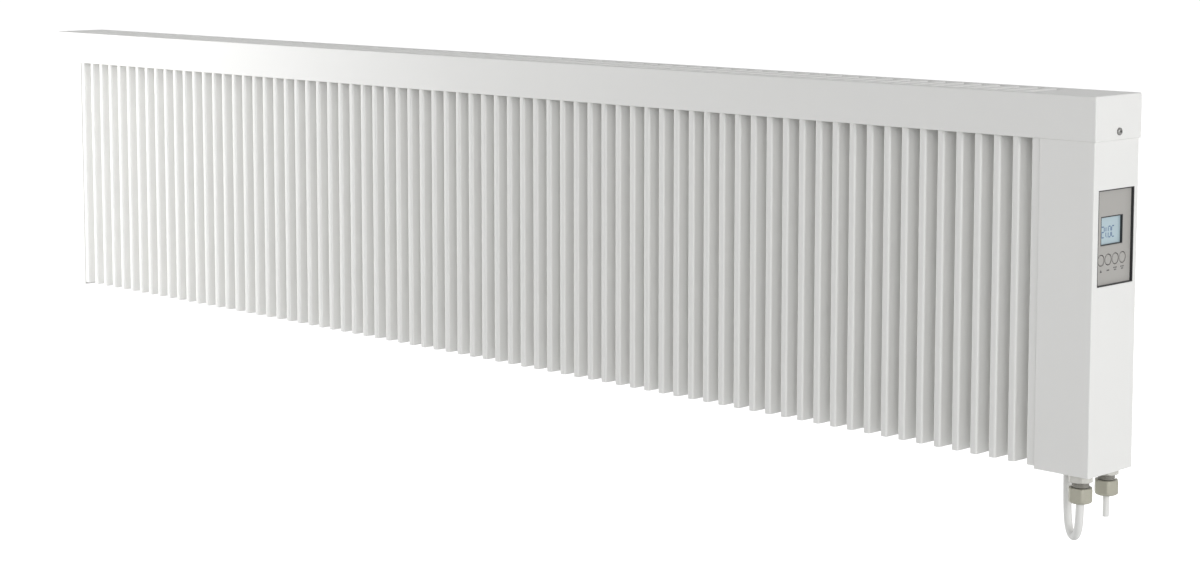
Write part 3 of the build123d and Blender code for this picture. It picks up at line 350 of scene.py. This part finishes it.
def plate(name, outlines, front, thickness, edge):
    """A plate on the right-hand end, filled between its outlines, with softened edges."""
    drawn = bpy.data.curves.new(name, "CURVE")
    drawn.dimensions = "2D"
    drawn.fill_mode = "BOTH"
    drawn.extrude = thickness / 2 - edge
    drawn.bevel_depth = edge
    drawn.bevel_resolution = 1
    drawn.offset = -edge
    for outline in outlines:
        line = drawn.splines.new("POLY")
        line.points.add(len(outline) - 1)
        for point, (y, z) in zip(line.points, outline):
            point.co = (y, z, 0, 1)
        line.use_cyclic_u = True
    holder = bpy.data.objects.new(name, drawn)
    bpy.context.scene.collection.objects.link(holder)
    mesh = bpy.data.meshes.new_from_object(holder)
    bpy.data.objects.remove(holder)
    for v in mesh.vertices:
        y, z, out = v.co
        v.co = (front - thickness / 2 + out, y, z)
    return mesh


def oblong(middle, size):
    """Corners of an upright rectangle."""
    (y, z), (w, h) = middle, size
    return [(y + i * w / 2, z + j * h / 2) for i, j in ((-1, -1), (1, -1), (1, 1), (-1, 1))]


def ring_of(middle, radius, count=48, start=0.0):
    """Points round a circle."""
    return [(middle[0] + radius * math.cos(start + 2 * math.pi * i / count),
             middle[1] + radius * math.sin(start + 2 * math.pi * i / count)) for i in range(count)]


outlines = [oblong(fascia_middle, fascia_size), oblong(window_middle, window_size)]
outlines += [ring_of(m, key_hole / 2) for m in key_middles]
piece("fascia_plate", plate("fascia_plate", outlines, fascia_front, fascia_thickness, fascia_edge),
      fascia_grey, replaced=["fascia"])

# Display: a pale blue liquid-crystal glass in the black frame behind the fascia's window.
# Its figures are built of dark strokes, up to seven to a figure.
glass = finish("display_glass", tone(180, 201, 209), drift=0.05, patch=0.02, tooth=0.0003,
               depth=0.000002, rough=(0.1, 0.16))
coat(glass, "display")
figure_ink = finish("figure_ink", tone(58, 92, 138), drift=0.08, patch=0.002, tooth=0.0002,
                    rough=(0.25, 0.35))
glass_front, figure_foot, figure_height = 0.96765, 0.0508, 0.0112
stroke, shortest_stroke, figure_film = 0.0012, 0.0005, 0.00005
point_middle, point_radius, point_sides = (-0.0632, 0.0510), 0.0006, 12
strokes = {
    "a": ((0.08, 1), (0.92, 1)), "b": ((1, 0.96), (1, 0.54)), "c": ((1, 0.46), (1, 0.04)),
    "d": ((0.08, 0), (0.92, 0)), "e": ((0, 0.46), (0, 0.04)), "f": ((0, 0.96), (0, 0.54)),
    "g": ((0.08, 0.5), (0.92, 0.5)),
}
# Each figure's left side, width and lit strokes.
shown = [(-0.0738, 0.0052, "abged"), (-0.0656, 0.0002, "bc"), (-0.0612, 0.0048, "abcdef"),
         (-0.0546, 0.0048, "adef")]
bars = []
for left, width, lit in shown:
    for mark in lit:
        (y1, z1), (y2, z2) = strokes[mark]
        start = Vector((left + y1 * width, figure_foot + z1 * figure_height))
        end = Vector((left + y2 * width, figure_foot + z2 * figure_height))
        if (end - start).length < shortest_stroke:
            continue
        run = (end - start).normalized()
        side = Vector((-run.y, run.x)) * stroke / 2
        nib = run * stroke / 2
        bars.append([start, start + nib + side, end - nib + side,
                     end, end - nib - side, start + nib - side])
bars.append(ring_of(point_middle, point_radius, point_sides))


def film(name, outlines, front, thickness):
    """Printed marks of almost no thickness on the right-hand end."""
    mesh = bpy.data.meshes.new(name)
    work = bmesh.new()
    for outline in outlines:
        low = [work.verts.new((front - thickness, y, z)) for y, z in outline]
        high = [work.verts.new((front + thickness, y, z)) for y, z in outline]
        work.faces.new(high)
        work.faces.new(low[::-1])
        for i in range(len(outline)):
            j = (i + 1) % len(outline)
            work.faces.new((low[i], low[j], high[j], high[i]))
    work.to_mesh(mesh)
    work.free()
    return mesh


piece("display_figures", film("display_figures", bars, glass_front, figure_film), figure_ink)

# Keys: four round moulded caps in the fascia's grey, each loose in its hole, with a slightly
# dished face, a retaining flange and a stem down to its switch. Each rides on its own body.
key_radius, key_flange, key_stem, key_round, key_dish = 0.00525, 0.0063, 0.002, 0.0004, 0.0003
x_key_front, x_cap_foot, x_flange_back, x_stem_end = 0.9704, 0.9681, 0.9673, 0.9643


def turned(name, profile, origin, axis, count=48, radius_at=None):
    """Turns a profile of (radius, height) about an axis through origin and closes both ends."""
    axis = Vector(axis).normalized()
    side = axis.orthogonal().normalized()
    other = axis.cross(side)
    points, faces = [], []
    for radius, height in profile:
        for i in range(count):
            a = 2 * math.pi * i / count
            r = radius_at(a, radius, height) if radius_at else radius
            outward = side * math.cos(a) + other * math.sin(a)
            points.append(Vector(origin) + axis * height + outward * r)
    for row in range(len(profile) - 1):
        for i in range(count):
            j = (i + 1) % count
            low, high = row * count, (row + 1) * count
            faces.append((low + i, low + j, high + j, high + i))
    faces.append(tuple(range(count))[::-1])
    faces.append(tuple((len(profile) - 1) * count + i for i in range(count)))
    mesh = bpy.data.meshes.new(name)
    mesh.from_pydata(points, [], faces)
    return mesh


# Radius and place along X, from the stem's end round to the middle of the dished face.
cap = [
    (0.0004, x_stem_end), (key_stem, x_stem_end),
    (key_stem, x_flange_back), (key_flange, x_flange_back),
    (key_flange, x_cap_foot), (key_radius, x_cap_foot),
    (key_radius, x_key_front - key_round), (key_radius - 0.0001, x_key_front - 0.00015),
    (key_radius - key_round, x_key_front), (key_radius - 0.0009, x_key_front - 0.00003),
    (0.003, x_key_front - 0.0002), (0.0012, x_key_front - key_dish),
    (0.0001, x_key_front - key_dish),
]
for number, (y, z) in enumerate(key_middles, start=1):
    piece(f"key_cap_{number}", turned(f"key_cap_{number}", cap, (0, y, z), (1, 0, 0)), fascia_grey,
          body=f"key_{number}", replaced=[f"key_{number}"])

# Marks: a fine dark ring round each key's hole, painted shade for the gap round the key, and
# a small sign under it, pad-printed on the fascia: a triangle, a bar and, under the other
# two keys, rows of short strokes.
# One dark ink serves the printed signs and the painted shade round the keys.
ink_and_painted_shade = finish("ink_and_painted_shade", tone(76, 75, 74), drift=0.1, patch=0.002, tooth=0.0002,
                   rough=(0.5, 0.6))
upper_row, lower_row, bar_row = 0.0182, 0.0160, 0.0164
triangle_reach, bar_size, mark_stroke = 0.0022, (0.0048, 0.0013), 0.0014
gap_shade_width, gap_shade_film, mark_film = 0.0005, 0.00006, 0.00003
# Each short stroke's way from the key's middle, its row and its width.
short_strokes = (
    (-0.0024, upper_row, 0.0016), (0.0002, upper_row, 0.0022), (0.0026, upper_row, 0.0012),
    (-0.0010, lower_row, 0.0018), (0.0014, lower_row, 0.0016),
)
signs = [ring_of((key_middles[0][0], lower_row), triangle_reach, 3, math.pi / 2)]
signs.append(oblong((key_middles[1][0], bar_row), bar_size))
for middle in (key_middles[2][0], key_middles[3][0]):
    signs += [oblong((middle + dy, z), (w, mark_stroke)) for dy, z, w in short_strokes]
# Dark rings round the holes: painted shade for the gap round each key.
gap_shade_rings = []
for middle in key_middles:
    inner, outer = ring_of(middle, key_hole / 2), ring_of(middle, key_hole / 2 + gap_shade_width)
    gap_shade_rings += [[inner[i - 1], outer[i - 1], outer[i], inner[i]] for i in range(len(inner))]
piece("key_gap_painted_shade", film("key_gap_painted_shade", gap_shade_rings, fascia_front, gap_shade_film), ink_and_painted_shade)
piece("key_marks", film("key_marks", signs, fascia_front, mark_film), ink_and_painted_shade)

# Glands: nickel-plated brass, turned and milled: a hexagon seated on the base, a threaded
# neck and a cap nut with a rounded foot that squeezes a rubber seal round the lead.
gland_metal = finish("gland_metal", tone(198, 197, 191), drift=0.10, patch=0.004, tooth=0.0004,
                     rough=(0.36, 0.5), metal=0.25)
nut_metal = finish("gland_nut_metal", tone(168, 166, 152), drift=0.06, patch=0.004, tooth=0.0005,
                   rough=(0.4, 0.55), metal=0.2, stretch=(1, 1, 3))
# The neck's metal is a darker copy of the body's metal: painted shade for the neck in the shadow
# under the hexagon.
neck_painted_shade_metal = finish("gland_neck_painted_shade", tone(142, 140, 134), drift=0.12, patch=0.003, tooth=0.0003,
                    rough=(0.36, 0.5), metal=0.3)
coat(gland_metal, "gland_locknuts")
seal_rubber = finish("black_rubber", tone(52, 52, 53), drift=0.1, patch=0.004, tooth=0.0004,
                     rough=(0.6, 0.8))
coat(seal_rubber, "gland_seals")
loop_gland, mains_gland = (0.954, -0.0818), (0.9525, -0.0308)
across_flats, hexagon_turn, casing_foot = 0.024, math.radians(24), -0.2
hex_reach = across_flats / 2 / math.cos(math.pi / 6)
nut_corner_reach, gland_sides = 0.0134, 72
flange_head, flange_foot, flange_least, painted_shade_drop = -0.0001, -0.0079, 0.0105, 0.0078
thread_least, thread_pitch, thread_depth, thread_step = 0.009, 0.0015, 0.00044, 0.0003
upper_rings, lower_rings = 30, 20
nut_shoulder, dome_inward, dome_down, dome_steps = -0.0252, 0.0055, 0.0058, 10


def hexagon(angle):
    """The hexagon's reach at an angle."""
    from_flat = (angle - hexagon_turn) % (math.pi / 3) - math.pi / 6
    return across_flats / 2 / math.cos(from_flat)


def nut_skin(angle, radius, height):
    """The nut's six sides, with its corners turned off a little."""
    return min(radius, hexagon(angle), nut_corner_reach)


def body_skin(angle, radius, height):
    """Milled flange on the hexagon, and a cut thread above and below it."""
    if flange_foot < height < flange_head and radius > flange_least:
        return min(radius, hexagon(angle))
    if radius > thread_least:
        groove = math.cos(2 * math.pi * height / thread_pitch + angle)
        return radius - thread_depth / 2 * (1 - groove)
    return radius


# Radius and height above the casing's foot: inner thread, hexagon and flange, outer neck.
gland_body = [(0.0068, 0.009), (0.0092, 0.009)]
gland_body += [(0.0099, 0.0088 - i * thread_step) for i in range(upper_rings)]
gland_body += [(0.0122, -0.0002), (hex_reach, -0.0009), (hex_reach, -0.0072), (0.0124, flange_foot)]
gland_body += [(0.0094, -0.00795 - i * thread_step) for i in range(lower_rings)]
gland_body += [(0.0088, -0.01395), (0.0071, -0.01395), (0.0071, -0.006)]
# Each gland's name, its place and the radius of its lead.
for name, place, lead in (("loop", loop_gland, 0.0045), ("mains", mains_gland, 0.0035)):
    base = (*place, casing_foot)
    body_mesh = turned(f"{name}_gland_body", gland_body, base, (0, 0, 1), gland_sides, body_skin)
    seat = piece(f"{name}_gland_body", body_mesh, gland_metal)
    # Faces below the hexagon take the darker copy, which is painted shade on the neck.
    seat.data.materials.append(neck_painted_shade_metal)
    for face in seat.data.polygons:
        face.material_index = int(face.center.z < casing_foot - painted_shade_drop)
    nut = [(0.0090, -0.0158), (0.0096, -0.01405), (0.0117, -0.01405), (0.0127, -0.0144),
           (hex_reach, -0.0152), (hex_reach, nut_shoulder)]
    nut += [(hex_reach - dome_inward * (1 - math.cos(a)), nut_shoulder - dome_down * math.sin(a))
            for a in (math.pi / 2 * i / dome_steps for i in range(1, dome_steps + 1))]
    nut += [(lead + 0.0016, -0.031), (lead + 0.0007, -0.0305), (lead + 0.0007, -0.019)]
    nut_mesh = turned(f"{name}_gland_nut", nut, base, (0, 0, 1), gland_sides, nut_skin)
    piece(f"{name}_gland_nut", nut_mesh, nut_metal)
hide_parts("gland_bodies")
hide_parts("gland_nuts")

# Grommet: a ring moulded in pale rubber, snapped into the base where the looped lead goes
# back in. It grips the sheet between a lip below and a lip above.
grommet_middle, one_point = (0.924, -0.0618, casing_foot), 0.00001
grommet = [
    (0.0064, -0.0009), (0.0072, -0.001), (0.0079, -0.0007), (0.008, -0.0003), (0.0078, -0.00002),
    (0.00625, -0.00002), (0.00625, 0.00102), (0.0079, 0.00105), (0.008, 0.0015),
    (0.0074, 0.002), (0.0062, 0.002), (0.0049, 0.0017), (0.0047, 0.0005), (0.0049, -0.0006),
    (0.0056, -0.00095),
]
pale_rubber = finish("pale_rubber", tone(206, 206, 203), drift=0.06, patch=0.003, tooth=0.0004,
                     rough=(0.5, 0.65))
ring = turned("base_grommet", grommet + grommet[:1], grommet_middle, (0, 0, 1), 48)
work = bmesh.new()
work.from_mesh(ring)
bmesh.ops.delete(work, geom=[f for f in work.faces if len(f.verts) > 4], context="FACES")
bmesh.ops.remove_doubles(work, verts=work.verts, dist=one_point)
work.to_mesh(ring)
work.free()
piece("base_grommet", ring, pale_rubber, replaced=["lead_grommet"])

# Looped lead: a round white PVC lead that leaves the first gland straight down, turns back in
# a narrow loop and rises through the grommet to the thermostat. It is seen from end to end.
loop_route = [
    (0.954, -0.0818, -0.2084), (0.954, -0.0818, -0.2214),
    (0.953695, -0.081597, -0.235395), (0.952680, -0.080920, -0.249342),
    (0.950258, -0.079305, -0.263036), (0.943492, -0.074795, -0.271168),
    (0.935130, -0.069220, -0.271168), (0.928364, -0.064709, -0.263036),
    (0.925596, -0.062864, -0.247386), (0.924363, -0.062042, -0.230451),
    (0.923993, -0.061795, -0.213457), (0.923993, -0.061795, -0.197457),
]


def lead_along(name, route, diameter):
    """A round lead whose middle line is one smooth spline over its route."""
    drawn = bpy.data.curves.new(name, "CURVE")
    drawn.dimensions = "3D"
    line = drawn.splines.new("NURBS")
    line.points.add(len(route) - 1)
    for point, place in zip(line.points, route):
        point.co = (*place, 1)
    line.order_u = 3
    line.use_endpoint_u = True
    line.resolution_u = 10
    drawn.bevel_depth = diameter / 2
    drawn.bevel_resolution = 8
    drawn.use_fill_caps = True
    drawn.materials.append(sleeve)
    made = bpy.data.objects.new(name, drawn)
    bpy.context.scene.collection.objects.link(made)
    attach(made, "casing")
    return made


looped = lead_along("looped_lead", loop_route, 0.009)
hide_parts("loop_lead")

# Mains lead: a thinner white lead from the terminals down through the second gland, cut off
# square below it for the installer, so that the three cores show in its end.
mains_diameter, cores_radius, cores_end = 0.007, 0.00125, -0.2549
cores = ((tone(120, 84, 60), 90), (tone(84, 110, 158), 210), (tone(150, 160, 92), 330))
core_profile = [(0.00108, 0.0008), (0.00108, -0.00005), (0.0007, -0.0001), (0.00065, 0.0),
                (0.0001, 0.00002)]
mains_route = [(0.91187, -0.0431, -0.061), (0.91187, -0.0308, -0.1), (0.9525, -0.0308, -0.15),
               (0.9525, -0.0308, -0.2), (0.9525, -0.0308, -0.2548)]
mains = lead_along("mains_supply_lead", mains_route, mains_diameter)
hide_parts("mains_lead")
for number, (colour, turn) in enumerate(cores, start=1):
    centre = (mains_gland[0] + cores_radius * math.cos(math.radians(turn)),
              mains_gland[1] + cores_radius * math.sin(math.radians(turn)), cores_end)
    core_sleeve = finish(f"core_sleeve_{number}", colour, drift=0.05, patch=0.002, tooth=0.0003,
                         rough=(0.4, 0.5))
    core_mesh = turned(f"lead_core_{number}", core_profile, centre, (0, 0, 1), 20)
    piece(f"lead_core_{number}", core_mesh, core_sleeve)

# Top cover: a folded steel lid in white enamel, its band lapping the casing, with an air slot
# for each gap between fins. Each slot's edges are turned down in a small bend that catches
# the light.
coat(enamel, "top_cover")
slot_pitch, slot_count, slot_size = 0.02471, 73, (0.015, 0.064)
last_slot, slot_y = 0.8828, -0.0578
lip_sheet, lip_bend, lip_steps = 0.0008, 0.0011, 4
lip_head, lip_root, lip_foot = 0.2, 0.1984, 0.1948
# How far the lip stands outside the slot's edge, and its height, round the lip's section.
lip = [(-lip_bend * math.sin(a), lip_head - lip_bend * (1 - math.cos(a)))
       for a in (math.pi / 2 * i / lip_steps for i in range(lip_steps + 1))]
lip += [(-lip_bend, lip_foot), (lip_sheet - lip_bend, lip_foot),
        (lip_sheet - lip_bend, lip_root), (0, lip_root)]
lips = bmesh.new()
for number in range(slot_count):
    slot_middle = (last_slot - number * slot_pitch, slot_y)
    rings = []
    for grow, z in lip:
        around = oblong(slot_middle, [w + 2 * grow for w in slot_size])
        rings.append([lips.verts.new((x, y, z)) for x, y in around])
    for here, after in zip(rings, rings[1:] + rings[:1]):
        for i in range(4):
            lips.faces.new((here[i], here[i - 3], after[i - 3], after[i]))
lip_mesh = bpy.data.meshes.new("slot_lips")
lips.to_mesh(lip_mesh)
lips.free()
piece("slot_lips", lip_mesh, enamel)

# Screws and nuts: bright zinc-plated pan heads with a hexagon recess hold the cover at both
# ends, the end covers at the back and the casing to the brackets underneath.
plated = finish("screw_steel", tone(136, 136, 134), drift=0.12, patch=0.002, tooth=0.0003,
                rough=(0.26, 0.4), metal=0.95)
coat(plated, "housing_nuts")
cover_half, casing_back, recess_reach, screw_sides = 0.975, -0.015, 0.00135, 36


def recess_skin(angle, radius, height):
    """The recess has six sides; the rest of the screw is round."""
    if radius < recess_reach:
        return radius / math.cos((angle % (math.pi / 3)) - math.pi / 6)
    return radius


# Radius and height above the head's seat, from the tip round the head into the recess.
screw = [
    (0.0002, -0.009), (0.0016, -0.009), (0.002, -0.0085), (0.002, 0.0), (0.0039, 0.0),
    (0.004, 0.0004), (0.004, 0.0012), (0.0037, 0.0019), (0.0031, 0.0024), (0.0023, 0.0026),
    (0.0015, 0.0026), (0.00125, 0.0024), (0.0012, 0.0009), (0.0002, 0.0008),
]
# Each set's places and the way that its heads face.
screw_sets = {
    "cover_screws": [((side * cover_half, -0.0561, 0.1616), (side, 0, 0)) for side in (-1, 1)],
    "rear_screws": [((x, casing_back, z), (0, 1, 0)) for x in (-0.9141, 0.9092)
                    for z in (-0.12, 0.12)],
    "foot_screws": [((x, -0.029, -0.202), (0, 0, -1)) for x in (-0.7, 0.7)],
}
for kind, places in screw_sets.items():
    for number, (place, out) in enumerate(places, start=1):
        name = f"{kind[:-1]}_{number}"
        screw_mesh = turned(name, screw, place, out, screw_sides, recess_skin)
        made = piece(name, screw_mesh, plated)
        if number == 1:
            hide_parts(kind)
